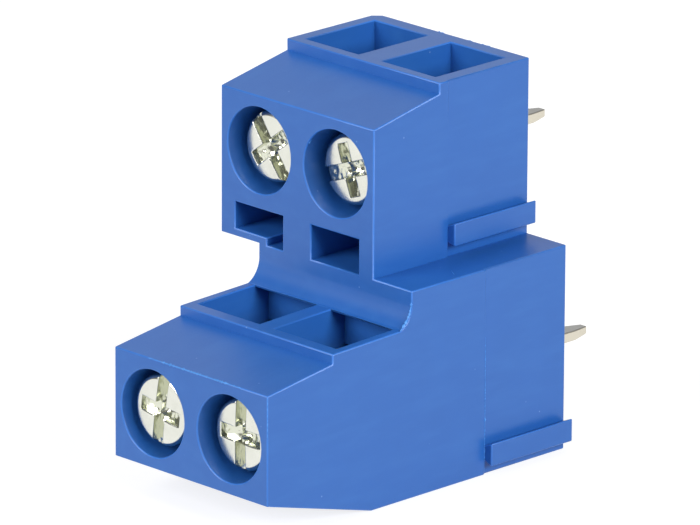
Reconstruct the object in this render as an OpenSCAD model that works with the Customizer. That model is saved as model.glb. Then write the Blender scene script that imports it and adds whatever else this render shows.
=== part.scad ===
// Two-level screw terminal block for printed circuit boards, four poles, wires clamped by screws.
// Frame: the block stands on its long flat side. -Y is the screw side, +Y the board side, +Z the wire side.
// X runs across the poles. The origin is on the base, at the centre of the block's outline in plan.

/* [Poles and levels] */
// Distance between neighbouring poles of a level
pitch = 5.08; // [4.8:0.01:6.35]
// How far the upper level is shifted towards -X
level_shift = 2.54; // [1.6:0.01:3.2]
// Height from the lower row of screws to the upper row
level_rise = 10.16; // [9.9:0.01:12.7]
// Depth from the lower screw face to the upper screw face
level_setback = 9.23; // [7.6:0.01:12]
// Depth from the upper screw face to the board face, which every clamp's length follows
level_depth = 10.27; // [8.5:0.01:12.5]
// Height of the lower row of screws above the base
lower_axis_z = 4.45; // [4.1:0.01:5.4]

/* [Housing] */
// Height of a level's flat screw face, which is centred on its screws
face_h = 5.31; // [4.6:0.01:5.6]
// Depth at which the bevel under the lower screw face meets the base
base_bevel_d = 6.7; // [5:0.1:8]
// Depth of the sloping shoulder above the lower screw face
lower_shoulder_d = 4.15; // [3.6:0.01:4.4]
// Depth of the sloping shoulder above the upper screw face
upper_shoulder_d = 4.26; // [3.6:0.01:4.4]
// How far the lower shoulder climbs over its depth
lower_shoulder_rise = 0.59; // [0.2:0.01:0.9]
// How far the upper shoulder climbs over its depth
upper_shoulder_rise = 0.85; // [0.2:0.01:0.9]
// Height of the step from the lower shoulder to the lower wire face
lower_step_h = 0.48; // [0.3:0.01:0.8]
// Height of the step from the upper shoulder to the upper wire face
upper_step_h = 0.54; // [0.3:0.01:0.8]
// How far the lower wire face climbs from its front edge to the neck
wire_face_rise = 0.13; // [0:0.01:0.2]
// Radius of the hollow where the neck meets the lower wire face
neck_r = 1.25; // [0.8:0.05:1.4]
// How far the hollow's lower end stands in front of the upper screw face
neck_foot_d = 0.71; // [0.5:0.01:0.75]
// Height of the hollow's axis above the lower wire face
neck_axis_up = 1.13; // [0.7:0.01:1.2]
// Height of the ledge above the hollow's axis
ledge_up = 0.64; // [0.4:0.01:0.8]
// Bevel on the upper level's left rear corner
corner_bevel = 0.35; // [0:0.05:0.4]

/* [Screw wells] */
// Width of the step between a screw well's wide mouth and its narrow part
well_step = 0.25; // [0.1:0.01:0.3]
// Depth of the wide mouth of a screw well
well_mouth_d = 2.6; // [2:0.1:3]
// Gap round a screw head in the narrow part of its well
well_fit = 0.13; // [0.08:0.01:0.18]

/* [Wire openings] */
// Depth from the screw face to the near edge of a wire opening
wire_near_d = 4.87; // [4.8:0.01:5]
// Plastic left between a wire opening and the board face
wire_far_wall = 0.85; // [0.6:0.01:1.1]
// Width of an opening in the upper wire face
upper_wire_w = 3.55; // [3:0.01:3.9]
// How far the upper openings sit to the left of their poles
upper_wire_off = 0.12; // [0:0.01:0.15]
// Plastic over the lower chamber where it runs in under the neck
under_neck_t = 0.1; // [0.05:0.01:0.5]

/* [Pockets under the upper screws] */
// Width of a pocket in the upper screw face
pocket_w = 3.2; // [2.6:0.01:3.8]
// Plastic between a pocket and the clamp chamber above it
pocket_roof = 0.89; // [0.6:0.01:1.2]
// Depth of a pocket
pocket_d = 4.6; // [2:0.1:4.8]
// Height of the sill in the left pocket
sill_h = 0.38; // [0.2:0.01:0.6]
// How far the sill reaches over the lower level
sill_reach = 0.53; // [0.2:0.01:0.9]

/* [Joining rails] */
// How far a rail stands out of the side wall
rail_out = 0.55; // [0.4:0.01:0.6]
// Height of a rail's outer face
rail_h = 1.13; // [0.9:0.01:1.2]
// Slope of a rail's upper and lower faces: how much narrower its root is on each
rail_flare = 0.23; // [0:0.01:0.25]
// Length of a rail, measured from the board face
rail_l = 5.4; // [4:0.1:6]
// Height of the lower rail's outer face above the base
lower_rail_z = 0.5; // [0.4:0.01:0.6]
// Height of the upper rail's outer face above the ledge
upper_rail_up = 0.6; // [0.4:0.01:0.7]
// How far the right wall stands back along the rails
wall_relief = 0.1; // [0.05:0.01:0.15]
// Gap round a neighbour's rail in its groove
groove_fit = 0.06; // [0.04:0.01:0.1]

/* [Clamps] */
// Outer width of a clamp
clamp_w = 4; // [3.7:0.01:4.1]
// Length of a clamp along the wire
clamp_l = 3.8; // [3.65:0.01:4.6]
// Thickness of the folded strip
strip_t = 0.5; // [0.4:0.01:0.5]
// Outer radius of a clamp's folded corners
fold_r = 0.7; // [0.5:0.01:0.9]
// Depth from the screw face to the top of a clamp's threaded collar
collar_d = 3.9; // [3.8:0.01:4]
// Height of the threaded collar above the clamp
collar_h = 0.7; // [0.5:0.01:0.8]
// Gap between a clamp and its chamber
clamp_fit = 0.05; // [0.03:0.01:0.08]
// Gap between the upper clamps' feet and the board
board_gap = 0.07; // [0.05:0.01:0.2]

/* [Solder pins] */
// Width of a pin
pin_w = 0.85; // [0.6:0.01:1]
// How far the upper pins stand out of the board face
upper_pin_l = 3.4; // [2.8:0.01:4.2]
// How far the lower pins stand out of the board face
lower_pin_l = 3.77; // [2.8:0.01:4.6]
// How far the upper pins sit above the middle of their screws
upper_pin_up = 0.14; // [0:0.01:0.3]
// How far the lower pins sit above the middle of their screws
lower_pin_up = 0.05; // [0:0.01:0.3]
// Length of the tapered tip
pin_tip_l = 0.95; // [0.4:0.01:1.2]
// Width of the tip's end
pin_tip_w = 0.4; // [0.2:0.01:0.5]
// Thickness of the tip's end
pin_tip_t = 0.38; // [0.2:0.01:0.4]
// How much narrower than its clamp the riser of a lower pin is, on each side
riser_inset = 0.05; // [0.03:0.01:0.5]
// How far the riser stops short of the board face
riser_stop = 0.4; // [0.2:0.01:1]

/* [Screws] */
// Thread radius
thread_r = 1.5; // [1.25:0.01:1.6]
// Radial gap between a screw and its thread
thread_fit = 0.05; // [0.03:0.01:0.08]
// How far the head stands out past the thread
head_shoulder = 0.22; // [0.15:0.01:0.3]
// Height of a screw's head
head_h = 1; // [0.9:0.01:1.1]
// Bevel round the head's rim
head_bevel = 0.2; // [0.1:0.01:0.3]
// Depth of the head below its face when the clamp is fully open
open_depth = 0.3; // [0.1:0.01:0.45]
// Gap then left between the wire guard and the clamp
open_gap = 0.07; // [0.03:0.01:0.1]
// Bevel at the shank's end
shank_bevel = 0.25; // [0.1:0.01:0.4]
// Width of the driver slot and of the cross arms
slot_w = 0.68; // [0.5:0.01:0.8]
// Depth of the driver slot
slot_d = 0.5; // [0.3:0.01:0.7]
// Tip-to-tip length of the short cross arm
cross_l = 2.55; // [2:0.01:2.9]
// Depth of the cross at its centre
cross_d = 0.8; // [0.5:0.01:0.9]

/* [Screws as left] */
// How far the upper left screw's head is below its face
upper_left_depth = 0.7; // [0.3:0.01:2.8]
// How far the upper right screw's head is below its face
upper_right_depth = 0.85; // [0.3:0.01:2.8]
// How far the lower left screw's head is below its face
lower_left_depth = 0.45; // [0.3:0.01:2.8]
// How far the lower right screw's head is below its face
lower_right_depth = 0.7; // [0.3:0.01:2.8]
// Direction of the upper left slot, from +X towards +Z
upper_left_turn = 127; // [0:1:180]
// Direction of the upper right slot
upper_right_turn = 20; // [0:1:180]
// Direction of the lower left slot
lower_left_turn = 82; // [0:1:180]
// Direction of the lower right slot
lower_right_turn = 89; // [0:1:180]

/* [Wire guards] */
// Gap between a guard plate and the clamp's side walls
guard_fit = 0.1; // [0.05:0.01:0.2]
// How much shorter than its clamp a guard plate is, at each end
guard_inset = 0.2; // [0.1:0.01:0.6]
// Thickness of a guard plate
guard_t = 0.4; // [0.3:0.01:0.5]
// Height of the gripping ribs under a guard plate
rib_h = 0.3; // [0.2:0.01:0.4]
// Width of a gripping rib
rib_w = 0.25; // [0.15:0.01:0.3]
// Radius of the pivot that holds the guard on the screw
pivot_r = 0.6; // [0.5:0.01:0.7]
// Radius of the pivot's spread end
rivet_r = 0.85; // [0.75:0.01:0.95]
// Height of the pivot's spread end
rivet_h = 0.22; // [0.15:0.01:0.25]
// Gap between the pivot's spread end and the nearest ribs
rivet_gap = 0.1; // [0.05:0.01:0.15]
// Gap round the pivot
pivot_fit = 0.05; // [0.03:0.01:0.08]
// End play of the guard on the pivot, on each side
pivot_play = 0.02; // [0.01:0.01:0.05]

/* [Hidden] */
POLES = ["upper_left", "upper_right", "lower_left", "lower_right"];
KINDS = ["clamp", "wire_guard", "screw"];

$fn = 48;
over = 1;
smooth = 96;

poles_per_level = 2;
level_w = poles_per_level * pitch;
block_d = level_setback + level_depth;
upper_axis_z = lower_axis_z + level_rise;

// Each level's own left side, screw face, screws' height, pins' length and pins' rise
lower = [0, 0, lower_axis_z, lower_pin_l, lower_pin_up];
upper = [-level_shift, level_setback, upper_axis_z, upper_pin_l, upper_pin_up];

base_bevel_z = lower_axis_z - face_h / 2;
lower_face_top = lower_axis_z + face_h / 2;
lower_shoulder_z = lower_face_top + lower_shoulder_rise;
lower_wire_z = lower_shoulder_z + lower_step_h;
neck_foot_y = level_setback - neck_foot_d;
neck_foot_z = lower_wire_z + wire_face_rise;
neck_axis_z = neck_foot_z + neck_axis_up;
ledge_z = neck_axis_z + ledge_up;

upper_face_top = upper_axis_z + face_h / 2;
upper_shoulder_z = upper_face_top + upper_shoulder_rise;
upper_wire_z = upper_shoulder_z + upper_step_h;
upper_shoulder_y = level_setback + upper_shoulder_d;

// Depths below a level's screw face
clamp_top_d = collar_d + collar_h;
foot_end_d = level_depth - board_gap;
floor_d = foot_end_d - 2 * strip_t;
wire_far_d = level_depth - wire_far_wall;

chamber_w = clamp_w + 2 * clamp_fit;
chamber_l = clamp_l + 2 * clamp_fit;
pocket_h = upper_axis_z - chamber_l / 2 - pocket_roof - ledge_z;

shank_r = thread_r - thread_fit;
head_r = thread_r + head_shoulder;
well_r = head_r + well_fit;
cross_root_r = slot_w / 3;
collar_r = well_r - clamp_fit;
shank_l = clamp_top_d + strip_t + open_gap - pivot_play - open_depth - head_h;

foot_w = clamp_w - 2 * fold_r;
riser_w = clamp_w - 2 * riser_inset;
guard_w = clamp_w - 2 * strip_t - 2 * guard_fit;
guard_l = clamp_l - 2 * guard_inset;

plan_left = -level_shift;
plan_right = level_w - wall_relief + rail_out;
plan_back = block_d + max(lower_pin_l, upper_pin_l);
origin = [(plan_left + plan_right) / 2, plan_back / 2, 0];

housing_colour = "#3f74c8";
tin_colour = "#c9c8c0";
zinc_colour = "#c4c8bd";
guard_colour = "#b9bcc0";

// --- Where things are -------------------------------------------------------------------------

// Index 0 is the left pole of a level, and 1 the right
function pole_x(level, index) = level[0] + (index + 0.5) * pitch;
function pole_level(pole) = pole[0] == "u" ? upper : lower;
function pole_index(pole) = pole[6] == "l" ? 0 : 1;

function head_depth(pole) =
    pole == "upper_left" ? upper_left_depth :
    pole == "upper_right" ? upper_right_depth :
    pole == "lower_left" ? lower_left_depth : lower_right_depth;

function slot_turn(pole) =
    pole == "upper_left" ? upper_left_turn :
    pole == "upper_right" ? upper_right_turn :
    pole == "lower_left" ? lower_left_turn : lower_right_turn;

// Moves the block's own corner to the part's origin
module place() {
    translate(-origin) children();
}

// Puts children at a pole: X across it, Y into the block from its screw face, Z up from its screw
module at_pole(level, index) {
    translate([pole_x(level, index), level[1], level[2]]) children();
}

module every_pole() {
    for (level = [lower, upper], index = [0 : poles_per_level - 1]) at_pole(level, index) children();
}

// A cylinder that runs along +Y from depth d
module bore(r, d, length) {
    translate([0, d, 0]) rotate([-90, 0, 0]) cylinder(r = r, h = length, $fn = smooth);
}

// Extrudes a Y-Z outline along +X
module along_x(width) {
    rotate([90, 0, 90]) linear_extrude(width) children();
}

// A box centred across X and Z that runs along +Y from depth d
module centred_box(width, d, length, height) {
    translate([-width / 2, d, -height / 2]) cube([width, length, height]);
}

// --- Housing ----------------------------------------------------------------------------------

module lower_outline() {
    polygon([
        [base_bevel_d, 0],
        [block_d, 0],
        [block_d, ledge_z],
        [level_setback, ledge_z],
        [level_setback, neck_axis_z],
        [neck_foot_y, neck_axis_z],
        [neck_foot_y, neck_foot_z],
        [lower_shoulder_d, lower_wire_z],
        [lower_shoulder_d, lower_shoulder_z],
        [0, lower_face_top],
        [0, base_bevel_z]
    ]);
}

module upper_outline() {
    polygon([
        [level_setback, ledge_z],
        [block_d, ledge_z],
        [block_d, upper_wire_z],
        [upper_shoulder_y, upper_wire_z],
        [upper_shoulder_y, upper_shoulder_z],
        [level_setback, upper_face_top]
    ]);
}

// The hollow rises from the foot of the neck to the upper screw face
module neck_hollow() {
    neck_axis_y = neck_foot_y - sqrt(neck_r * neck_r - neck_axis_up * neck_axis_up);
    length = level_w + 2 * over;
    intersection() {
        translate([-over, neck_axis_y, neck_axis_z])
            rotate([0, 90, 0])
                cylinder(r = neck_r, h = length, $fn = smooth);
        translate([-over, neck_axis_y, neck_foot_z]) cube([length, 2 * neck_r, 2 * neck_r]);
    }
}

// A rail's section across the side wall, with x outwards and y up from the foot of its outer face
module rail_section(grow) {
    polygon([
        [-over, rail_flare - grow],
        [0, rail_flare - grow],
        [rail_out + grow, -grow],
        [rail_out + grow, rail_h + grow],
        [0, rail_h - rail_flare + grow],
        [-over, rail_h - rail_flare + grow]
    ]);
}

// A rail or the room for one, out of the wall at x, with its outer face from z up
module rail(x, z, grow, extra) {
    translate([x, block_d + extra, z])
        rotate([90, 0, 0])
            linear_extrude(rail_l + grow + extra) rail_section(grow);
}

module side_rails(grow, extra) {
    rail(level_w - wall_relief, lower_rail_z, grow, extra);
    rail(level_w - wall_relief - level_shift, ledge_z + upper_rail_up, grow, extra);
}

// Along the rails a level's right wall stands back, so that a joined neighbour doesn't rub
module rail_relief(level, from_z, to_z) {
    translate([level[0] + level_w - wall_relief, block_d - rail_l, from_z])
        cube([over, rail_l + over, to_z - from_z]);
}

module screw_well() {
    bore(well_r + well_step, -over, well_mouth_d + over);
    bore(well_r, 0, clamp_top_d + clamp_fit);
}

// The chamber takes a clamp from the board side, so it is open there
module clamp_chamber(to_board) {
    centred_box(chamber_w, clamp_top_d, to_board - clamp_top_d + over, chamber_l);
}

module upper_wire_opening() {
    translate([-upper_wire_w / 2 - upper_wire_off, wire_near_d, 0])
        cube([upper_wire_w, wire_far_d - wire_near_d, upper_wire_z - upper_axis_z + over]);
}

module lower_wire_opening() {
    near_neck = neck_foot_z - lower_axis_z - under_neck_t;
    above = neck_foot_z - lower_axis_z + over;
    translate([-chamber_w / 2, wire_near_d, 0])
        cube([chamber_w, wire_far_d - wire_near_d, near_neck]);
    translate([-chamber_w / 2, wire_near_d, 0])
        cube([chamber_w, min(neck_foot_y, wire_far_d) - wire_near_d, above]);
}

module pocket(index) {
    translate([pole_x(upper, index) - pocket_w / 2, level_setback - over, ledge_z])
        cube([pocket_w, pocket_d + over, pocket_h]);
}

// The left pocket hangs past the lower level, so most of it has a sill for a floor
module pocket_sill() {
    left = pole_x(upper, 0) - pocket_w / 2;
    translate([left, level_setback, ledge_z])
        cube([lower[0] + sill_reach - left, pocket_d, sill_h]);
}

module housing_shell() {
    difference() {
        along_x(level_w) lower_outline();
        neck_hollow();
    }
    translate([-level_shift, 0, 0]) along_x(level_w) upper_outline();
}

module left_corner_bevel() {
    side = corner_bevel * sqrt(2);
    translate([-level_shift, block_d, ledge_z - over])
        rotate([0, 0, 45])
            translate([-side / 2, -side / 2, 0]) cube([side, side, upper_wire_z]);
}

module housing() {
    color(housing_colour) {
        difference() {
            housing_shell();
            rail_relief(lower, -over, ledge_z + over);
            rail_relief(upper, ledge_z, upper_wire_z + over);
            left_corner_bevel();
            every_pole() screw_well();
            for (index = [0 : poles_per_level - 1]) {
                at_pole(lower, index) clamp_chamber(block_d);
                at_pole(lower, index) lower_wire_opening();
                at_pole(upper, index) clamp_chamber(level_depth);
                at_pole(upper, index) upper_wire_opening();
                pocket(index);
            }
            translate([-level_w + wall_relief, 0, 0]) side_rails(groove_fit, over);
        }
        side_rails(0, 0);
        pocket_sill();
    }
}

// --- Clamps with their solder pins -----------------------------------------------------------------

module rounded_rectangle(width, height, r) {
    translate([r, 0]) square([width - 2 * r, height]);
    translate([0, r]) square([width, height - 2 * r]);
    for (x = [r, width - r], y = [r, height - r]) translate([x, y]) circle(r);
}

// The strip is folded into a tube round the wire
module clamp_tube() {
    height = floor_d + strip_t - clamp_top_d;
    translate([-clamp_w / 2, clamp_top_d, -clamp_l / 2])
        linear_extrude(clamp_l)
            difference() {
                rounded_rectangle(clamp_w, height, fold_r);
                translate([strip_t, strip_t])
                    rounded_rectangle(clamp_w - 2 * strip_t, height - 2 * strip_t, fold_r - strip_t);
            }
}

// The collar stands in its screw's well, and its root fills the strip as far as the clamp's sides
module clamp_collar() {
    bore(collar_r, collar_d, collar_h);
    intersection() {
        bore(collar_r, collar_d, collar_h + strip_t);
        centred_box(clamp_w, collar_d, collar_h + strip_t, clamp_l);
    }
}

// The strip's end is folded back under the floor, as far as the pin
module clamp_foot(pin_up) {
    foot_d = floor_d + strip_t;
    translate([-foot_w / 2, foot_d, -clamp_l / 2 + strip_t])
        cube([foot_w, strip_t, clamp_l / 2 - strip_t / 2 + pin_up]);
    translate([-foot_w / 2, foot_d, -clamp_l / 2 + strip_t])
        rotate([0, 90, 0])
            cylinder(r = strip_t, h = foot_w);
}

module tapered(from, to, root, tip) {
    polygon([
        [-root / 2, from],
        [root / 2, from],
        [root / 2, to - pin_tip_l],
        [tip / 2, to],
        [-tip / 2, to],
        [-root / 2, to - pin_tip_l]
    ]);
}

// A flat pin, tapered on all four sides at its end
module solder_pin(from, to) {
    intersection() {
        translate([0, 0, -strip_t]) linear_extrude(2 * strip_t) tapered(from, to, pin_w, pin_tip_w);
        translate([-pin_w, 0, 0])
            rotate([90, 0, 90])
                linear_extrude(2 * pin_w)
                    mirror([1, -1]) tapered(from, to, strip_t, pin_tip_t);
    }
}

// to_board is the depth of the board face below the level's screw face
module clamp(level, index, to_board) {
    color(tin_colour) at_pole(level, index) {
        difference() {
            union() {
                clamp_tube();
                clamp_collar();
            }
            bore(thread_r, collar_d - over, collar_h + strip_t + 2 * over);
        }
        clamp_foot(level[4]);
        translate([0, 0, level[4]]) {
            solder_pin(floor_d + strip_t, to_board + level[3]);
            if (to_board > level_depth)
                centred_box(riser_w, floor_d + strip_t, to_board - riser_stop - floor_d - strip_t, strip_t);
        }
    }
}

module clamp_at(pole) {
    level = pole_level(pole);
    clamp(level, pole_index(pole), block_d - level[1]);
}

// --- Screws and wire guards ---------------------------------------------------------------------

module driver_recess(depth, turn) {
    translate([0, depth, 0]) rotate([0, -turn, 0]) {
        centred_box(2 * head_r + over, -over, slot_d + over, slot_w);
        centred_box(slot_w, -over, slot_d + over, cross_l);
        rotate([-90, 0, 0]) cylinder(r1 = slot_w, r2 = cross_root_r, h = cross_d);
    }
}

// The head, the shank, and the pivot that is spread behind the wire guard
module screw_body(depth) {
    under_head = depth + head_h;
    shank_end = under_head + shank_l;
    pivot_l = 2 * pivot_play + guard_t;
    translate([0, depth, 0])
        rotate([-90, 0, 0])
            cylinder(r1 = head_r - head_bevel, r2 = head_r, h = head_bevel, $fn = smooth);
    bore(head_r, depth + head_bevel, head_h - head_bevel);
    bore(shank_r, under_head, shank_l - shank_bevel);
    translate([0, shank_end - shank_bevel, 0])
        rotate([-90, 0, 0])
            cylinder(r1 = shank_r, r2 = shank_r - shank_bevel, h = shank_bevel, $fn = smooth);
    bore(pivot_r, shank_end, pivot_l);
    bore(rivet_r, shank_end + pivot_l, rivet_h);
}

module screw_at(pole) {
    color(zinc_colour) at_pole(pole_level(pole), pole_index(pole)) difference() {
        screw_body(head_depth(pole));
        driver_recess(head_depth(pole), slot_turn(pole));
    }
}

// A plate that the screw pushes onto the wire, guided by the clamp's side walls
module wire_guard_at(pole) {
    top_d = head_depth(pole) + head_h + shank_l + pivot_play;
    outer_rib_z = (guard_l - rib_w) / 2;
    inner_rib_z = rivet_r + rivet_gap + rib_w / 2;
    color(guard_colour) at_pole(pole_level(pole), pole_index(pole)) {
        difference() {
            centred_box(guard_w, top_d, guard_t, guard_l);
            bore(pivot_r + pivot_fit, top_d - over, guard_t + 2 * over);
        }
        for (z = [-outer_rib_z, -inner_rib_z, inner_rib_z, outer_rib_z])
            translate([0, 0, z]) centred_box(guard_w, top_d + guard_t, rib_h, rib_w);
    }
}

// --- The part -----------------------------------------------------------------------------------

place() housing();
for (pole = POLES) {
    place() clamp_at(pole);
    place() wire_guard_at(pole);
    place() screw_at(pole);
}
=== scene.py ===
"""The looks of a two-level screw terminal block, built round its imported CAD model, in metres."""
import logging
import math
from dataclasses import dataclass
from enum import Enum
from typing import Any

import bmesh
import bpy
import numpy as np
from mathutils import Matrix, Vector


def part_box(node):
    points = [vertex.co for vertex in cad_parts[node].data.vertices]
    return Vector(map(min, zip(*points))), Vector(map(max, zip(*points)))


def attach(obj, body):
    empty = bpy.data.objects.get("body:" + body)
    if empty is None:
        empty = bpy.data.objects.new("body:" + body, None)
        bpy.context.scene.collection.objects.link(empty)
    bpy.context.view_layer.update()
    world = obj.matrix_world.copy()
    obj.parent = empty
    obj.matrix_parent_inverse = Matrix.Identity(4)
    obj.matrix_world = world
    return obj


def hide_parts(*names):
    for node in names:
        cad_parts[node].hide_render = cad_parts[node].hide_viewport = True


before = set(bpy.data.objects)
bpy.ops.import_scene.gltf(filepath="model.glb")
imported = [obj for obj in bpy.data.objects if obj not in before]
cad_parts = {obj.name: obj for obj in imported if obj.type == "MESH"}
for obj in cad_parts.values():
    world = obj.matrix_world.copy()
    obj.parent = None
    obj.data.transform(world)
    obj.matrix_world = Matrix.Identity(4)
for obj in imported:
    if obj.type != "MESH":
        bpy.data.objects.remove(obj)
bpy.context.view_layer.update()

log = logging.getLogger("terminal_block")

MM = 0.001
THREAD_PITCH = 0.5 * MM

# Where the row frame's origin lies from the block's lower left front corner, in millimetres
FRAME_SHIFT_MM = (4.035, 11.635, 0.0)

# Places nearer than this, in metres, count as one
SAME_PLACE = 1e-7

# The Mix node's colour sockets, whose names its number sockets have too
SHARE, FIRST, SECOND, MIXED = 0, 6, 7, 2

# Seeds of the first sliver of flash and of the first screw's recess
FIRST_FLASH_SEED = 3
FIRST_RECESS_SEED = 7


class Pole(Enum):
    """The four poles, named as their CAD nodes are."""

    UPPER_LEFT = "upper_left"
    UPPER_RIGHT = "upper_right"
    LOWER_LEFT = "lower_left"
    LOWER_RIGHT = "lower_right"


class Slot(Enum):
    """The record's material slots."""

    HOUSING = "housing"
    CLAMP = "clamp"
    WIRE_GUARD = "wire_guard"
    SCREW = "screw"


# How far each screw's slot is turned from the row of poles, in degrees
SLOT_TURN_DEG = {
    Pole.UPPER_LEFT: 127.0,
    Pole.UPPER_RIGHT: 20.0,
    Pole.LOWER_LEFT: 82.0,
    Pole.LOWER_RIGHT: 89.0,
}

# Thickness and corners of each sliver, in millimetres from the block's lower left front corner
FLASH = {
    "flash_front_edge": (0.1, ((2.2, 0.015, 7.092), (4.9, 0.015, 7.092), (8.4, 0.015, 7.092))),
    "flash_neck_right": (0.1, (
        (10.15, 9.2, 9.6), (10.15, 9.2, 9.4), (10.15, 9.08, 8.98), (10.15, 8.83, 8.61),
        (10.15, 8.46, 8.29),
    )),
    "flash_wall_step": (0.035, ((10.165, 14.08, 0.2), (10.165, 14.08, 6.8))),
    "flash_wall_step_low": (0.07, ((10.165, 14.08, 2.35), (10.165, 14.08, 2.9))),
    "fibre_on_ledge": (0.03, (
        (9.17, 12.8, 10.08), (9.41, 12.61, 10.09), (9.74, 12.42, 10.09), (9.96, 12.1, 10.08),
    )),
    "flash_rear_edge_left": (0.06, ((1.5, 19.48, 18.63), (1.95, 19.48, 18.63))),
    "flash_rear_edge_middle": (0.06, ((3.35, 19.48, 18.63), (3.8, 19.48, 18.63))),
    "flash_rear_edge_right": (0.07, ((4.3, 19.48, 18.63), (5.0, 19.48, 18.63))),
    "flash_pocket_sill": (0.06, ((5.25, 9.25, 10.06), (5.5, 9.25, 10.06))),
    "flash_well_upper_right": (0.05, ((3.32, 9.25, 15.68), (3.5, 9.25, 15.9))),
    "flash_wall_corner": (0.03, ((10.14, 0.02, 5.1), (10.14, 0.02, 7.08))),
}


# --- Small helpers ---


def linear(hex_colour: str) -> tuple[float, float, float, float]:
    """Turns an sRGB hex colour to linear light, by the sRGB standard's curve.

    Args:
        hex_colour: the colour as "#RRGGBB".

    Returns:
        Red, green, blue and an alpha of 1, from 0 to 1.
    """
    srgb = np.array([int(hex_colour[i : i + 2], 16) for i in (1, 3, 5)]) / 255
    light = np.where(srgb <= 0.04045, srgb / 12.92, ((srgb + 0.055) / 1.055) ** 2.4)
    return (*map(float, light), 1.0)


def per(size_mm: float) -> float:
    """The scale at which a pattern's features come out at a size in millimetres."""
    return 1 / (size_mm * MM)


def towards(azimuth_deg: float, elevation_deg: float) -> Vector:
    """Gives a direction away from the block.

    Args:
        azimuth_deg: degrees round from -Y towards +X.
        elevation_deg: degrees up from the floor.

    Returns:
        The direction, of length 1.
    """
    a, e = math.radians(azimuth_deg), math.radians(elevation_deg)
    return Vector((math.sin(a) * math.cos(e), -math.cos(a) * math.cos(e), math.sin(e)))


def add_node(
    tree: bpy.types.NodeTree, kind: str, inputs: dict[Any, Any] | None = None, **settings: Any
) -> bpy.types.Node:
    """Adds a node, with its settings, values and links.

    Args:
        tree: the node tree that takes the node.
        kind: the node's type, without the leading "ShaderNode".
        inputs: a value or an output socket for each input, by its name or number.
        settings: the node's own properties.

    Returns:
        The new node.
    """
    node = tree.nodes.new("ShaderNode" + kind)
    for name, value in settings.items():
        setattr(node, name, value)
    for key, value in (inputs or {}).items():
        if isinstance(value, bpy.types.NodeSocket):
            tree.links.new(value, node.inputs[key])
        else:
            node.inputs[key].default_value = value
    return node


def new_material(name: str) -> tuple[bpy.types.Material, bpy.types.NodeTree, bpy.types.Node]:
    """Makes a material that holds only its output.

    Args:
        name: the material's name.

    Returns:
        The material, its node tree and its output node.
    """
    material = bpy.data.materials.new(name)
    material.use_nodes = True
    tree = material.node_tree
    tree.nodes.clear()
    return material, tree, tree.nodes.new("ShaderNodeOutputMaterial")


def object_from(
    name: str, verts: np.ndarray, faces: np.ndarray | list, smooth: bool = True
) -> bpy.types.Object:
    """Puts points and faces into a new object that sits at the origin.

    Args:
        name: the object's name.
        verts: the points, in metres, one row each.
        faces: the faces' point numbers.
        smooth: whether its faces are shaded smooth.

    Returns:
        The object, in the scene.
    """
    mesh = bpy.data.meshes.new(name)
    mesh.from_pydata(np.asarray(verts, float).tolist(), [], [tuple(map(int, f)) for f in faces])
    mesh.polygons.foreach_set("use_smooth", np.full(len(mesh.polygons), smooth))
    mesh.update()
    made = bpy.data.objects.new(name, mesh)
    bpy.context.scene.collection.objects.link(made)
    return made


def grid_faces(rows: int, columns: int, round_columns: bool = False) -> np.ndarray:
    """Numbers the four-sided faces of a grid whose points run row by row.

    The face at row i and column j joins the points at rows i and i + 1 and columns j and j + 1,
    and the last column's face joins the first column again where a row closes on itself.

    Args:
        rows: how many rows of points there are.
        columns: how many points a row has.
        round_columns: whether each row closes on itself.

    Returns:
        The faces, four point numbers each.
    """
    spans = columns if round_columns else columns - 1
    i, j = np.meshgrid(np.arange(rows - 1), np.arange(spans), indexing="ij")
    k = (j + 1) % columns
    below, above = i * columns, (i + 1) * columns
    return np.stack([below + j, below + k, above + k, above + j], -1).reshape(-1, 4)


def close_seams(mesh: bpy.types.Mesh, reach: float) -> None:
    """Joins the points where surfaces meet, and turns all faces outwards.

    Args:
        mesh: the mesh to close.
        reach: how near two points lie that are joined, in metres.
    """
    work = bmesh.new()
    work.from_mesh(mesh)
    bmesh.ops.remove_doubles(work, verts=work.verts, dist=reach)
    bmesh.ops.recalc_face_normals(work, faces=work.faces)
    work.to_mesh(mesh)
    work.free()


def face_rows(mesh: bpy.types.Mesh, what: str) -> np.ndarray:
    """Reads one vector of every face.

    Args:
        mesh: the mesh to read.
        what: "normal" or "center".

    Returns:
        The vectors, one row each.
    """
    rows = np.empty(len(mesh.polygons) * 3)
    mesh.polygons.foreach_get(what, rows)
    return rows.reshape(-1, 3)


def mark_faces(mesh: bpy.types.Mesh, name: str, marked: np.ndarray) -> None:
    """Stores 1 on the corners of marked faces and 0 on the others, for a material to read.

    Args:
        mesh: the mesh that takes the attribute.
        name: the attribute's name.
        marked: whether each face is marked.
    """
    counts = np.empty(len(mesh.polygons), np.int32)
    mesh.polygons.foreach_get("loop_total", counts)
    layer = mesh.attributes.new(name, "FLOAT", "CORNER")
    layer.data.foreach_set("value", np.repeat(marked.astype(np.float32), counts))


# --- Finishes ---


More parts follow.
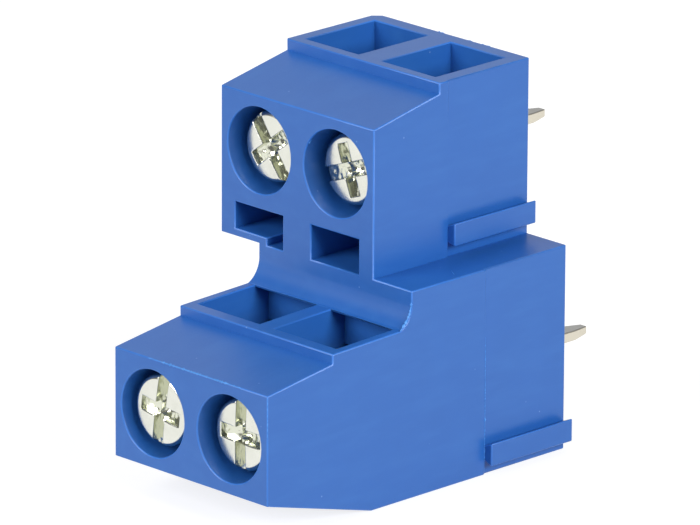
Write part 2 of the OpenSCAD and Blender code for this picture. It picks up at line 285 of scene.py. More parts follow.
@dataclass(frozen=True)
class MouldedPolyamide:
    """Blue polyamide, injection moulded in a spark-eroded tool: a fine satin, faint flow marks."""

    name: str = "polyamide_moulded_satin"
    colour: str = "#2967B9"
    deep_colour: str = "#2561B1"
    pale_colour: str = "#316EBC"
    mottle_mm: float = 2.6
    flow_mm: float = 0.9
    flow_stretch: tuple[float, float, float] = (1.0, 0.35, 1.6)
    flow_low: float = 0.45
    flow_high: float = 0.8
    flow_share: float = 0.5
    grain_mm: float = 0.11  # the tool's texture is about 0.03 mm: drawn coarser, so that it shows
    grain_depth_mm: float = 0.0015
    grain_strength: float = 0.5
    speck_colour: str = "#86A9DC"
    speck_mm: float = 0.05
    speck_gap_mm: float = 1.3
    speck_share: float = 0.6
    rough_low: float = 0.30
    rough_high: float = 0.42
    refraction: float = 1.53

    def material(self) -> bpy.types.Material:
        """Builds cloudy pigment, stretched flow marks, rare specks of dust and a fine grain.

        Returns:
            The material.
        """
        made, tree, out = new_material(self.name)
        place = add_node(tree, "TexCoord").outputs["Object"]
        clouds = add_node(tree, "TexNoise", {
            "Vector": place, "Scale": per(self.mottle_mm), "Detail": 3.0, "Roughness": 0.6,
        })
        drawn = add_node(tree, "Mapping", {"Vector": place, "Scale": self.flow_stretch})
        flow = add_node(tree, "TexNoise", {
            "Vector": drawn.outputs[0], "Scale": per(self.flow_mm), "Detail": 2.0,
        })
        grain = add_node(tree, "TexNoise", {
            "Vector": place, "Scale": per(self.grain_mm), "Detail": 3.0, "Roughness": 0.65,
        })
        pigment = add_node(tree, "Mix", {
            SHARE: clouds.outputs["Fac"],
            FIRST: linear(self.deep_colour), SECOND: linear(self.colour),
        }, data_type="RGBA")
        streak = add_node(tree, "MapRange", {
            "Value": flow.outputs["Fac"],
            "From Min": self.flow_low, "From Max": self.flow_high, "To Max": self.flow_share,
        })
        streaked = add_node(tree, "Mix", {
            SHARE: streak.outputs[0],
            FIRST: pigment.outputs[MIXED], SECOND: linear(self.pale_colour),
        }, data_type="RGBA")
        cells = add_node(tree, "TexVoronoi", {"Vector": place, "Scale": per(self.speck_gap_mm)})
        reach = self.speck_mm / self.speck_gap_mm
        speck = add_node(tree, "MapRange", {
            "Value": cells.outputs["Distance"],
            "From Min": reach, "From Max": reach * 0.5, "To Max": self.speck_share,
        })
        dusted = add_node(tree, "Mix", {
            SHARE: speck.outputs[0],
            FIRST: streaked.outputs[MIXED], SECOND: linear(self.speck_colour),
        }, data_type="RGBA")
        rough = add_node(tree, "MapRange", {
            "Value": grain.outputs["Fac"], "To Min": self.rough_low, "To Max": self.rough_high,
        })
        bump = add_node(tree, "Bump", {
            "Height": grain.outputs["Fac"],
            "Strength": self.grain_strength, "Distance": self.grain_depth_mm * MM,
        })
        shader = add_node(tree, "BsdfPrincipled", {
            "Base Color": dusted.outputs[MIXED],
            "Roughness": rough.outputs[0], "Normal": bump.outputs[0],
            "IOR": self.refraction,
        })
        tree.links.new(shader.outputs[0], out.inputs[0])
        return made


@dataclass(frozen=True)
class ZincPlate:
    """Steel, cold headed, zinc plated and passivated: bright, faintly green in its recesses."""

    name: str = "steel_zinc_plated_bright"
    colour: str = "#E9E9E2"
    haze_colour: str = "#D3D5C8"
    recess_colour: str = "#DADCCB"
    haze_mm: float = 0.7
    haze_depth_mm: float = 0.012
    haze_strength: float = 0.6
    scratch_mm: float = 0.05
    scratch_stretch: tuple[float, float, float] = (1.0, 1.0, 0.12)
    scratch_turn: tuple[float, float, float] = (0.0, 0.5, 0.0)
    scratch_depth_mm: float = 0.0012
    scratch_strength: float = 0.35
    rough_low: float = 0.12
    rough_high: float = 0.26

    def material(self) -> bpy.types.Material:
        """Builds hazy zinc, a dull tint in the recess and fine handling marks.

        Returns:
            The material.
        """
        made, tree, out = new_material(self.name)
        place = add_node(tree, "TexCoord").outputs["Object"]
        haze = add_node(tree, "TexNoise", {
            "Vector": place, "Scale": per(self.haze_mm), "Detail": 4.0, "Roughness": 0.6,
        })
        drawn = add_node(tree, "Mapping", {
            "Vector": place, "Scale": self.scratch_stretch, "Rotation": self.scratch_turn,
        })
        marks = add_node(tree, "TexNoise", {
            "Vector": drawn.outputs[0], "Scale": per(self.scratch_mm), "Detail": 2.0,
        })
        plate = add_node(tree, "Mix", {
            SHARE: haze.outputs["Fac"],
            FIRST: linear(self.colour), SECOND: linear(self.haze_colour),
        }, data_type="RGBA")
        recess = add_node(tree, "Attribute", attribute_name="recess")
        tinted = add_node(tree, "Mix", {
            SHARE: recess.outputs["Fac"],
            FIRST: plate.outputs[MIXED], SECOND: linear(self.recess_colour),
        }, data_type="RGBA")
        rough = add_node(tree, "MapRange", {
            "Value": haze.outputs["Fac"], "To Min": self.rough_low, "To Max": self.rough_high,
        })
        uneven = add_node(tree, "Bump", {
            "Height": haze.outputs["Fac"],
            "Strength": self.haze_strength, "Distance": self.haze_depth_mm * MM,
        })
        bump = add_node(tree, "Bump", {
            "Height": marks.outputs["Fac"],
            "Strength": self.scratch_strength, "Distance": self.scratch_depth_mm * MM,
            "Normal": uneven.outputs[0],
        })
        shader = add_node(tree, "BsdfPrincipled", {
            "Base Color": tinted.outputs[MIXED],
            "Roughness": rough.outputs[0], "Normal": bump.outputs[0],
            "Metallic": 1.0,
        })
        tree.links.new(shader.outputs[0], out.inputs[0])
        return made


@dataclass(frozen=True)
class TinPlate:
    """Brass strip, stamped, folded and tin plated: soft pale grey, warmer on its sheared edges."""

    name: str = "brass_tin_plated_satin"
    colour: str = "#D0D0CE"
    dull_colour: str = "#BEBDB8"
    edge_colour: str = "#DFD9C9"
    cloud_mm: float = 0.8
    grain_mm: float = 0.06
    grain_depth_mm: float = 0.003
    grain_strength: float = 0.5
    rough_low: float = 0.38
    rough_high: float = 0.52

    def material(self) -> bpy.types.Material:
        """Builds clouded tin, a warm tint where the strip was cut and a soft grain.

        Returns:
            The material.
        """
        made, tree, out = new_material(self.name)
        place = add_node(tree, "TexCoord").outputs["Object"]
        cloud = add_node(tree, "TexNoise", {
            "Vector": place, "Scale": per(self.cloud_mm), "Detail": 4.0, "Roughness": 0.6,
        })
        grain = add_node(tree, "TexNoise", {
            "Vector": place, "Scale": per(self.grain_mm), "Detail": 2.0,
        })
        plate = add_node(tree, "Mix", {
            SHARE: cloud.outputs["Fac"],
            FIRST: linear(self.colour), SECOND: linear(self.dull_colour),
        }, data_type="RGBA")
        cut = add_node(tree, "Attribute", attribute_name="sheared")
        tinted = add_node(tree, "Mix", {
            SHARE: cut.outputs["Fac"],
            FIRST: plate.outputs[MIXED], SECOND: linear(self.edge_colour),
        }, data_type="RGBA")
        rough = add_node(tree, "MapRange", {
            "Value": cloud.outputs["Fac"], "To Min": self.rough_low, "To Max": self.rough_high,
        })
        bump = add_node(tree, "Bump", {
            "Height": grain.outputs["Fac"],
            "Strength": self.grain_strength, "Distance": self.grain_depth_mm * MM,
        })
        shader = add_node(tree, "BsdfPrincipled", {
            "Base Color": tinted.outputs[MIXED],
            "Roughness": rough.outputs[0], "Normal": bump.outputs[0],
            "Metallic": 1.0,
        })
        tree.links.new(shader.outputs[0], out.inputs[0])
        return made


@dataclass(frozen=True)
class RolledStainless:
    """Stainless strip, cold rolled and stamped: fine lines along the strip."""

    name: str = "stainless_rolled_satin"
    colour: str = "#C9CACB"
    line_colour: str = "#B4B6B8"
    line_mm: float = 0.05
    line_stretch: tuple[float, float, float] = (0.04, 1.0, 1.0)
    line_depth_mm: float = 0.002
    line_strength: float = 0.5
    rough_low: float = 0.28
    rough_high: float = 0.42

    def material(self) -> bpy.types.Material:
        """Builds lines stretched along X, in colour, gloss and height.

        Returns:
            The material.
        """
        made, tree, out = new_material(self.name)
        place = add_node(tree, "TexCoord").outputs["Object"]
        drawn = add_node(tree, "Mapping", {"Vector": place, "Scale": self.line_stretch})
        lines = add_node(tree, "TexNoise", {
            "Vector": drawn.outputs[0], "Scale": per(self.line_mm), "Detail": 3.0,
        })
        lined = add_node(tree, "Mix", {
            SHARE: lines.outputs["Fac"],
            FIRST: linear(self.colour), SECOND: linear(self.line_colour),
        }, data_type="RGBA")
        rough = add_node(tree, "MapRange", {
            "Value": lines.outputs["Fac"], "To Min": self.rough_low, "To Max": self.rough_high,
        })
        bump = add_node(tree, "Bump", {
            "Height": lines.outputs["Fac"],
            "Strength": self.line_strength, "Distance": self.line_depth_mm * MM,
        })
        shader = add_node(tree, "BsdfPrincipled", {
            "Base Color": lined.outputs[MIXED],
            "Roughness": rough.outputs[0], "Normal": bump.outputs[0],
            "Metallic": 1.0,
        })
        tree.links.new(shader.outputs[0], out.inputs[0])
        return made


@dataclass(frozen=True)
class MattCard:
    """White card, uncoated: a flat ground that takes a shadow and looks white from anywhere."""

    name: str = "card_white_matt"
    colour: str = "#D8D8D8"
    seen_colour: str = "#A0A0A0"
    glow_colour: str = "#FFFFFF"
    glow: float = 0.8

    def material(self) -> bpy.types.Material:
        """Builds plain card for the light, and glowing card for the eye, gloss and glass.

        Returns:
            The material.
        """
        made, tree, out = new_material(self.name)
        path = add_node(tree, "LightPath")
        seen = add_node(tree, "Math", {
            0: path.outputs["Is Camera Ray"], 1: path.outputs["Is Glossy Ray"],
        }, operation="MAXIMUM")
        seen = add_node(tree, "Math", {
            0: seen.outputs[0], 1: path.outputs["Is Transmission Ray"],
        }, operation="MAXIMUM")
        card = add_node(tree, "BsdfDiffuse", {"Color": linear(self.colour)})
        grey = add_node(tree, "BsdfDiffuse", {"Color": linear(self.seen_colour)})
        glow = add_node(tree, "Emission", {
            "Color": linear(self.glow_colour), "Strength": self.glow,
        })
        lit = add_node(tree, "AddShader", {0: grey.outputs[0], 1: glow.outputs[0]})
        shader = add_node(tree, "MixShader", {
            0: seen.outputs[0], 1: card.outputs[0], 2: lit.outputs[0],
        })
        tree.links.new(shader.outputs[0], out.inputs[0])
        return made


# --- Softened copies of the CAD nodes ---


@dataclass
class SoftenedNode:
    """A CAD node's shape with its outer edges rounded, which stands for the node."""

    node: str
    piece: str
    round_mm: float
    segments: int = 2
    sharp_deg: float = 29.0
    flat_deg: float = 0.4
    merge_mm: float = 0.0004
    area_weight: int = 100

    def points(self) -> tuple[np.ndarray, np.ndarray]:
        """Reads the CAD node's points and triangles.

        Returns:
            The points, one row each, and the triangles' point numbers.
        """
        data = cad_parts[self.node].data
        co = np.empty(len(data.vertices) * 3, np.float32)
        data.vertices.foreach_get("co", co)
        corners = np.empty(len(data.loops), np.int32)
        data.loops.foreach_get("vertex_index", corners)
        return co.reshape(-1, 3), corners.reshape(-1, 3)

    def merge(self, mesh: bpy.types.Mesh) -> None:
        """Merges the triangles to flat faces, and marks the edges that stand out for rounding.

        An edge turns by the angle between its two faces, above 0 where it stands out. Past the
        sharp angle it is shaded sharp, and where it stands out it is also rounded.

        Args:
            mesh: the copy's mesh.
        """
        sharp, reach = math.radians(self.sharp_deg), self.merge_mm * MM
        work = bmesh.new()
        work.from_mesh(mesh)
        bmesh.ops.remove_doubles(work, verts=work.verts, dist=reach)
        bmesh.ops.dissolve_degenerate(work, edges=work.edges, dist=reach)
        bmesh.ops.dissolve_limit(
            work, angle_limit=math.radians(self.flat_deg), use_dissolve_boundaries=False,
            verts=work.verts, edges=work.edges,
        )
        weight = work.edges.layers.float.new("bevel_weight_edge")
        for edge in work.edges:
            if len(edge.link_faces) == 2:
                turn = edge.calc_face_angle_signed(0.0)
                edge.smooth = abs(turn) < sharp
                edge[weight] = 1.0 if turn > sharp else 0.0
        work.to_mesh(mesh)
        work.free()

    def build(self) -> bpy.types.Object:
        """Copies the node, and rounds the edges that stand out.

        Returns:
            The softened object, in the scene.
        """
        made = object_from(self.piece, *self.points())
        self.merge(made.data)
        rounding = made.modifiers.new("rounded_edges", "BEVEL")
        rounding.limit_method = "WEIGHT"
        rounding.width = self.round_mm * MM
        rounding.segments = self.segments
        rounding.use_clamp_overlap = False
        rounding.miter_outer = "MITER_SHARP"
        even = made.modifiers.new("even_faces", "WEIGHTED_NORMAL")
        even.weight = self.area_weight
        even.keep_sharp = True
        return made


# --- The block ---


@dataclass
class Housing:
    """The one-piece moulded housing, whose rounded edges are painted paler: a painted highlight
    along them.
    """

    finish: bpy.types.Material
    highlight_finish: bpy.types.Material
    round_mm: float = 0.06

    def build(self) -> None:
        """Makes the housing with softened edges, which take the second finish, a paler colour that
        is a painted highlight.
        """
        piece = SoftenedNode("housing", "housing_moulded", self.round_mm).build()
        piece.data.materials.append(self.finish)
        piece.data.materials.append(self.highlight_finish)
        # The rounding's faces take the paler finish: a painted highlight along the edges
        piece.modifiers["rounded_edges"].material = 1
        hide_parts("housing")
        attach(piece, "block")
        log.info("%s: %d faces before rounding", piece.name, len(piece.data.polygons))


@dataclass
class MouldFlash:
    """A ragged sliver of plastic that the tool's joint left along an edge of the housing.

    Its middle follows straight runs between corners, and its cross-section is a small circle that
    shrinks to a point at both ends.
    """

    name: str
    corners: tuple[tuple[float, float, float], ...]
    thickness_mm: float
    finish: bpy.types.Material
    seed: int
    steps_per_mm: float = 14.0
    fewest_steps: int = 6
    sides: int = 8
    thinnest: float = 0.2
    raggedness: float = 3.5
    end_taper: float = 0.25
    lean: tuple[float, float, float] = (0.31, 0.52, 0.79)
    merge_mm: float = 0.0001

    def middle(self) -> np.ndarray:
        """Spaces points evenly along the runs between corners.

        Returns:
            The points, in millimetres of the row frame, one row each.
        """
        corners = np.array(self.corners) - np.array(FRAME_SHIFT_MM)
        lengths = np.linalg.norm(np.diff(corners, axis=0), axis=1)
        along = np.concatenate([[0.0], np.cumsum(lengths)])
        count = max(self.fewest_steps, int(along[-1] * self.steps_per_mm))
        steps = np.linspace(0, along[-1], count)
        return np.stack([np.interp(steps, along, corners[:, axis]) for axis in range(3)], -1)

    def radius(self, count: int) -> np.ndarray:
        """Draws the sliver's radius at each step.

        The radius is the thickness, times a share from the thinnest to 1, times half a wave of
        sine to the power of the taper. The share grows with an even draw from 0 to 1 to the power
        of the raggedness, so that most of the sliver is thin.

        Args:
            count: how many steps there are.

        Returns:
            The radii in millimetres, in one column.
        """
        draw = np.random.default_rng(self.seed)
        rough = draw.uniform(0.0, 1.0, count) ** self.raggedness
        ends = np.sin(np.linspace(0, np.pi, count)) ** self.end_taper
        share = self.thinnest + (1 - self.thinnest) * rough
        radius = (self.thickness_mm * share * ends)[:, None]
        radius[[0, -1]] = 0.0
        return radius

    def build(self) -> None:
        """Carries the circle along the middle, square to it, and closes both ends."""
        middle = self.middle()
        radius = self.radius(len(middle))
        run = np.gradient(middle, axis=0)
        run /= np.linalg.norm(run, axis=1, keepdims=True)
        aside = np.cross(run, np.array(self.lean))
        aside /= np.linalg.norm(aside, axis=1, keepdims=True)
        across = np.cross(run, aside)
        turn = np.linspace(0, 2 * np.pi, self.sides, endpoint=False)
        rings = [
            middle[:, None, axis]
            + radius * (np.cos(turn) * aside[:, [axis]] + np.sin(turn) * across[:, [axis]])
            for axis in range(3)
        ]
        points = np.stack(rings, -1).reshape(-1, 3) * MM
        piece = object_from(self.name, points, grid_faces(len(middle), self.sides, True))
        close_seams(piece.data, self.merge_mm * MM)
        piece.data.materials.append(self.finish)
        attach(piece, "block")
        log.info("%s: %d faces", piece.name, len(piece.data.polygons))


@dataclass
class Clamp:
    """A clamp folded from strip, with its collar, foot and solder pin."""

    pole: Pole
    finish: bpy.types.Material
    round_mm: float = 0.05
    side_facing: float = 0.9

    def build(self) -> None:
        """Makes the clamp with softened edges, and marks where its strip was sheared.

        The strip was cut on the faces that look to the left or right, whose normals have more
        than a given share along X.
        """
        node = f"clamp_{self.pole.value}"
        piece = SoftenedNode(node, f"{node}_folded", self.round_mm).build()
        mesh = piece.data
        mark_faces(mesh, "sheared", np.abs(face_rows(mesh, "normal")[:, 0]) > self.side_facing)
        mesh.materials.append(self.finish)
        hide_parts(node)
        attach(piece, "block")
        log.info("%s: %d faces before rounding", piece.name, len(mesh.polygons))


@dataclass
class WireGuard:
    """The ribbed plate on a screw's tip."""

    pole: Pole
    finish: bpy.types.Material
    round_mm: float = 0.04

    def build(self) -> None:
        """Makes the guard with softened edges."""
        node = f"wire_guard_{self.pole.value}"
        piece = SoftenedNode(node, f"{node}_stamped", self.round_mm).build()
        piece.data.materials.append(self.finish)
        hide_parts(node)
        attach(piece, node)
        log.info("%s: %d faces before rounding", piece.name, len(piece.data.polygons))


@dataclass
class Screw:
    """A zinc-plated screw: a softly domed head with a slot and a cross, a thread and a pivot.

    The head is worked out in its own plane: a runs along the slot, b across it, and depth from the
    top of the dome down the axis. The recess is a cross: its slot runs out through the rim, and
    its other arm stops short of it.
    """

    pole: Pole
    finish: bpy.types.Material
    slot_turn_deg: float

    # The head
    head_r: float = 1.72 * MM
    head_h: float = 1.0 * MM
    rim_r: float = 0.24 * MM
    dome: float = 0.05 * MM
    crease_deg: float = 42.0
    merge: float = 0.0006 * MM

    # The recess
    slot_half: float = 0.34 * MM
    arm_end: float = 1.275 * MM
    slot_depth: float = 0.5 * MM
    centre_depth: float = 0.8 * MM
    arm_rise: float = 0.19 * MM
    slot_rise: float = 0.1 * MM
    lip_r: float = 0.05 * MM
    floor_wobble: float = 0.035 * MM
    dip_top: float = 1.35
    dip_reach: float = 1.3
    tint_from: float = 0.15 * MM
    tint_to: float = 0.95 * MM
    tint_margin: float = 0.03 * MM

    # What lies under the head
    root_r: float = 1.21 * MM
    crest_r: float = 1.445 * MM
    neck_fillet: float = 0.06 * MM
    tip_chamfer: float = 0.12 * MM
    pivot_r: float = 0.6 * MM
    pivot_h: float = 0.5 * MM
    rivet_r: float = 0.85 * MM
    rivet_h: float = 0.22 * MM
    rivet_lip: float = 0.05 * MM
    rivet_chamfer_r: float = 0.12 * MM
    rivet_chamfer_h: float = 0.08 * MM
    hollow_r: float = 0.3 * MM
    hollow_depth: float = 0.03 * MM

    # The thread, whose foot and crest are half widths as shares of its pitch
    thread_foot: float = 0.44
    thread_crest: float = 0.1
    thread_sink: float = 0.01 * MM
    thread_start: float = 0.4 * MM
    thread_end: float = 0.35 * MM
    turn_points: int = 40

    # How the head's face is divided
    chord_points: int = 15
    arm_points: int = 11
    tip_points: int = 9
    arm_root_deg: float = 48.0
    arm_tip_deg: float = 76.0
    lip_rows: tuple[float, ...] = (0.0, 0.08, 0.25, 0.55, 1.0)
    field_rows: int = 7
    rim_rows: int = 9
    most_lip: float = 0.3
    most_rim: float = 0.6
    rim_room: float = 1.05
    shortest: float = 1e-9

    def __post_init__(self) -> None:
        """Reads where the screw stands from its CAD node."""
        self.node = f"screw_{self.pole.value}"
        low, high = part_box(self.node)
        self.axis_x, self.axis_z = (low.x + high.x) / 2, (low.z + high.z) / 2
        self.face_y, self.end_y = low.y, high.y
        self.shank_y = self.end_y - self.rivet_h - self.pivot_h
        self.chord_end = math.sqrt(self.head_r**2 - self.slot_half**2)

    def place(self, a: np.ndarray, b: np.ndarray, depth: np.ndarray) -> np.ndarray:
        """Turns the head's own plane to the row frame: by the slot's angle, about the axis.

        Args:
            a: places along the slot.
            b: places across the slot.
            depth: depths from the head's face.

        Returns:
            The points, one row each.
        """
        turn = math.radians(self.slot_turn_deg)
        a, b, depth = np.broadcast_arrays(a, b, depth)
        x = self.axis_x + a * math.cos(turn) - b * math.sin(turn)
        z = self.axis_z + a * math.sin(turn) + b * math.cos(turn)
        return np.stack([x, self.face_y + depth, z], -1).reshape(-1, 3)

    def recess_distance(self, a: np.ndarray, b: np.ndarray) -> np.ndarray:
        """How far points lie from the recess.

        It is the lesser of the distances to the slot's endless strip and to the arm's box, and 0
        inside them.

        Args:
            a: places along the slot.
            b: places across the slot.

        Returns:
            The distances.
        """
        slot = np.abs(b) - self.slot_half
        beside = np.clip(np.abs(a) - self.slot_half, 0, None)
        beyond = np.clip(np.abs(b) - self.arm_end, 0, None)
        return np.clip(np.minimum(slot, np.hypot(beside, beyond)), 0, None)

    def surface_depth(self, a: np.ndarray, b: np.ndarray) -> np.ndarray:
        """How deep the head's surface lies: a shallow dome, a rounded rim and rounded recess lips.

        The dome falls with the square of the distance from the axis. A rounding of radius q lowers
        a point at distance s from its edge by q less the root of q squared less (q - s) squared.

        Args:
            a: places along the slot.
            b: places across the slot.

        Returns:
            The depths.
        """
        out = np.hypot(a, b)
        rim = np.clip(out - (self.head_r - self.rim_r), 0, self.rim_r)
        lip = self.lip_r - np.clip(self.recess_distance(a, b), 0, self.lip_r)
        depth = self.dome * (out / self.head_r) ** 2
        depth += self.rim_r - np.sqrt(self.rim_r**2 - rim**2)
        return depth + self.lip_r - np.sqrt(self.lip_r**2 - lip**2)

    def ramp_depth(self, a: np.ndarray, b: np.ndarray) -> np.ndarray:
        """How deep the recess's ramps lie.

        They rise evenly from the centre square's sides to the ends of the slot and of the arms.

        Args:
            a: places along the slot.
            b: places across the slot.

        Returns:
            The depths.
        """
        w = self.slot_half
        arm = np.clip((np.abs(b) - w) / (self.arm_end - w), 0, 1)
        slot = np.clip((np.abs(a) - w) / (self.chord_end - w), 0, 1)
        return self.slot_depth - self.arm_rise * arm - self.slot_rise * slot

    def floor_depth(self, a: np.ndarray, b: np.ndarray) -> np.ndarray:
        """How deep the recess's floor lies.

        It is the ramps' depth, plus a dip that is deepest round the axis and runs out evenly, plus
        a small even draw. The last two stay off the walls, so that the floor meets them closed.

        Args:
            a: places along the slot.
            b: places across the slot.

        Returns:
            The depths.
        """
        w, out = self.slot_half, np.hypot(a, b)
        fall = np.clip(self.dip_top - out / (self.dip_reach * w), 0, 1)
        dip = (self.centre_depth - self.slot_depth) * fall
        draw = np.random.default_rng(list(Pole).index(self.pole) + FIRST_RECESS_SEED)
        rough = draw.uniform(-1, 1, a.shape) * self.floor_wobble
        off_wall = np.minimum(np.abs(np.abs(b) - w), np.abs(np.abs(a) - w)) > SAME_PLACE
        short = (np.abs(b) < self.arm_end - SAME_PLACE) & (out < self.head_r - SAME_PLACE)
        inner = (np.abs(a) < w - SAME_PLACE) | (np.abs(b) < w - SAME_PLACE)
        return self.ramp_depth(a, b) + np.where(inner & off_wall & short, dip + rough, 0)

    def outline(self) -> tuple[np.ndarray, np.ndarray, np.ndarray, np.ndarray]:
        """Walks along the recess on one side of the slot, and round the rim beside it.

        The walk goes in along the slot, out along the arm, over its tip, back in, and out along
        the slot again. The rim has as many points, at even angles within each part of the walk.

        Returns:
            Places a and b along the recess's edge, and a and b of the rim's point that each one
            looks out to.
        """
        w, end = self.slot_half, self.arm_end
        chord = np.linspace(self.chord_end, w, self.chord_points)
        side = np.linspace(w, end, self.arm_points)[1:]
        head = np.linspace(w, -w, self.tip_points)[1:]
        back = side[::-1][1:]
        level = np.full(len(chord), w)
        a = np.concatenate([
            chord, np.full(len(side), w), head, np.full(len(back), -w), -chord[::-1],
        ])
        b = np.concatenate([level, side, np.full(len(head), end), back, level])
        low = math.asin(w / self.head_r)
        root, tip = math.radians(self.arm_root_deg), math.radians(self.arm_tip_deg)
        far_tip = math.radians(180.0 - self.arm_tip_deg)
        far_root = math.radians(180.0 - self.arm_root_deg)
        turn = np.concatenate([
            np.linspace(low, root, self.chord_points),
            np.linspace(root, tip, self.arm_points)[1:],
            np.linspace(tip, far_tip, self.tip_points)[1:],
            np.linspace(far_tip, far_root, self.arm_points)[1:-1],
            np.linspace(far_root, math.pi - low, self.chord_points),
        ])
        return a, b, self.head_r * np.cos(turn), self.head_r * np.sin(turn)

    def island(self, side: int) -> list[tuple[np.ndarray, np.ndarray]]:
        """Makes one half of the head's face, its recess walls and the rim's side below it.

        Straight lines run from the recess's edge, at share 0, to the rim, at share 1. Their points
        crowd at the lip and at the rim, where the surface turns.

        Args:
            side: 1 for the half at positive b, -1 for the other.

        Returns:
            Points and faces of each surface.
        """
        in_a, in_b, out_a, out_b = self.outline()
        length = np.maximum(np.hypot(out_a - in_a, out_b - in_b), self.shortest)
        near = np.minimum(self.most_lip, self.lip_r / length)
        far = np.minimum(self.most_rim, self.rim_r * self.rim_room / length)
        lip = np.array(self.lip_rows)[:, None] * near
        field = near + (1 - far - near) * np.linspace(0, 1, self.field_rows)[1:-1, None]
        rim = 1 - far * np.cos(np.linspace(0, np.pi / 2, self.rim_rows))[:, None]
        share = np.concatenate([lip, field, rim])
        a = in_a + (out_a - in_a) * share
        b = in_b + (out_b - in_b) * share
        depth = self.surface_depth(a, b)
        face = (self.place(a, side * b, depth), grid_faces(len(share), len(in_a)))
        wall_depth = np.stack([depth[0], self.ramp_depth(in_a, in_b)])
        wall = (self.place(in_a, side * in_b, wall_depth), grid_faces(2, len(in_a)))
        slot_end = np.full(len(in_a), self.slot_depth - self.slot_rise)
        edge_depth = np.stack([depth[-1], slot_end, np.full(len(in_a), self.head_h)])
        edge = (self.place(out_a, side * out_b, edge_depth), grid_faces(3, len(in_a)))
        return [face, wall, edge]

    def recess_floor(self) -> list[tuple[np.ndarray, np.ndarray]]:
        """Makes the recess's floor: the centre, both runs of the slot and both arms of the cross.

        The centre and the arms are square grids. A run of the slot goes from the centre to the
        head's round side, by even shares of the way there.

        Returns:
            Points and faces of each surface.
        """
        w, end, chord = self.slot_half, self.arm_end, self.chord_end
        across = np.linspace(w, -w, self.tip_points)
        share = (np.linspace(chord, w, self.chord_points)[::-1] - w) / (chord - w)
        parts = [np.meshgrid(across, across, indexing="ij")]
        for side in (1, -1):
            b = np.broadcast_to(across, (self.chord_points, self.tip_points))
            a = side * (w + share[:, None] * (np.sqrt(self.head_r**2 - b**2) - w))
            parts.append((a, b))
            arm = side * np.linspace(w, end, self.arm_points)
            parts.append(np.meshgrid(across, arm, indexing="ij"))
        return [(self.place(a, b, self.floor_depth(a, b)), grid_faces(*a.shape)) for a, b in parts]

    def slot_gaps(self) -> list[tuple[np.ndarray, np.ndarray]]:
        """Makes the head's round side below both ends of the slot.

        Returns:
            Points and faces of each surface.
        """
        b = np.linspace(self.slot_half, -self.slot_half, self.tip_points)
        a = np.sqrt(self.head_r**2 - b**2)
        depth = np.array([self.slot_depth - self.slot_rise, self.head_h])[:, None]
        return [(self.place(side * a, b, depth), grid_faces(2, len(b))) for side in (1, -1)]

    def rim_turns(self) -> np.ndarray:
        """Gives the angles of all points round the head's rim, from the slot's direction.

        Returns:
            The angles, once round: a slot's end, one half, the other end, the other half.
        """
        _, _, a, b = self.outline()
        half = np.arctan2(b, a)
        across = np.linspace(-self.slot_half, self.slot_half, self.tip_points)[1:-1]
        gap = np.arctan2(across, np.sqrt(self.head_r**2 - across**2))
        return np.concatenate([gap, half, np.pi + gap, np.pi + half])

    def below(self) -> tuple[np.ndarray, np.ndarray]:
        """Makes what lies under the head, closed at its end.

        A profile of radius and depth is turned round the axis: the head's underside, the shank,
        the pivot, and the rivet with its shallow hollow.

        Returns:
            Its points and faces.
        """
        turns = self.rim_turns()
        under, end, tip = self.head_h, self.shank_y - self.face_y, self.end_y - self.face_y
        profile = np.array([
            (self.head_r, under),
            (self.root_r + self.neck_fillet, under),
            (self.root_r, under + self.neck_fillet),
            (self.root_r, end - self.tip_chamfer),
            (self.root_r - self.tip_chamfer, end),
            (self.pivot_r, end),
            (self.pivot_r, end + self.pivot_h),
            (self.rivet_r - self.rivet_lip, end + self.pivot_h),
            (self.rivet_r, end + self.pivot_h + self.rivet_lip),
            (self.rivet_r, tip - self.rivet_chamfer_h),
            (self.rivet_r - self.rivet_chamfer_r, tip),
            (self.hollow_r, tip - self.hollow_depth),
            (0.0, tip - self.hollow_depth),
        ])
        radius, depth = profile[:, :1], profile[:, 1:]
        points = self.place(radius * np.cos(turns), radius * np.sin(turns), depth)
        return points, grid_faces(len(profile), len(turns), True)

    def mark_recess(self, mesh: bpy.types.Mesh) -> None:
        """Marks the recess's faces, by how deep and how near the axis their centres lie.

        Args:
            mesh: the screw's mesh.
        """
        centres = face_rows(mesh, "center")
        depth = centres[:, 1] - self.face_y
        out = np.hypot(centres[:, 0] - self.axis_x, centres[:, 2] - self.axis_z)
        deep = (depth > self.tint_from) & (depth < self.tint_to)
        mark_faces(mesh, "recess", deep & (out < self.head_r - self.tint_margin))

    def build(self) -> None:
        """Joins the head's surfaces and the turned parts to one closed piece."""
        parts = [
            *self.island(1), *self.island(-1), *self.recess_floor(), *self.slot_gaps(),
            self.below(),
        ]
        starts = np.cumsum([0, *(len(points) for points, _ in parts)])
        points = np.concatenate([points for points, _ in parts])
        faces = np.concatenate([faces + start for (_, faces), start in zip(parts, starts)])
        piece = object_from(f"{self.node}_headed", points, faces)
        mesh = piece.data
        close_seams(mesh, self.merge)
        mesh.set_sharp_from_angle(angle=math.radians(self.crease_deg))
        self.mark_recess(mesh)
        mesh.materials.append(self.finish)
        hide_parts(self.node)
        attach(piece, self.node)
        log.info("%s: %d faces", piece.name, len(mesh.polygons))

